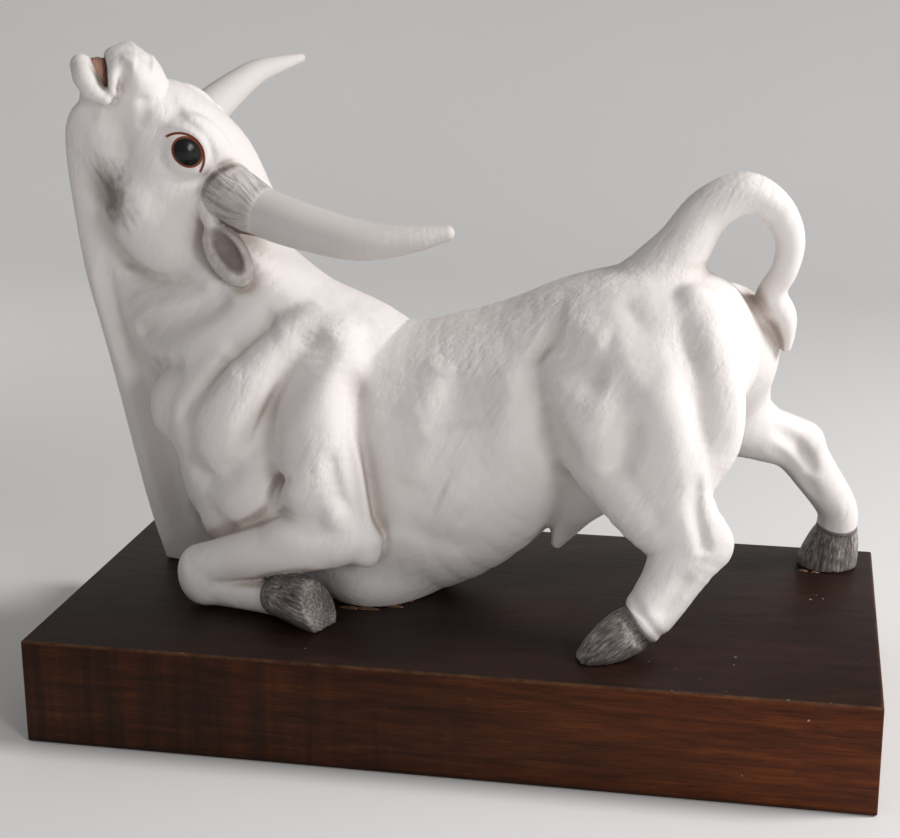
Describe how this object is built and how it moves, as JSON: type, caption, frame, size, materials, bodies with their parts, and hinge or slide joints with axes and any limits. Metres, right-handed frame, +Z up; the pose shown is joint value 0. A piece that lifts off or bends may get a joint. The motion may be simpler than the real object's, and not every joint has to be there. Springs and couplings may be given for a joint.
{
  "type": "bull sculpture",
  "caption": "Bull down on its folded forelegs, chest low, haunches raised, head thrown back with long horns, tail curled over, fixed on a rectangular wooden plinth",
  "frame": {"origin": "centre of the plinth's underside", "axes": "+Z up, normal to the underside; +X along the plinth's length, towards the bull's tail; +Y away from the side the bull's face is turned to"},
  "size_m": [0.5097, 0.2886, 0.4136],
  "materials": {
    "bisque": "unglazed white bisque porcelain with warm grey toning, grey brushed hooves, painted eyes",
    "stained_wood": "dark brown stained wood with a satin lacquer"
  },
  "bodies": {
    "root": {"bull": "bisque", "plinth": "stained_wood"}
  },
  "joints": []
}
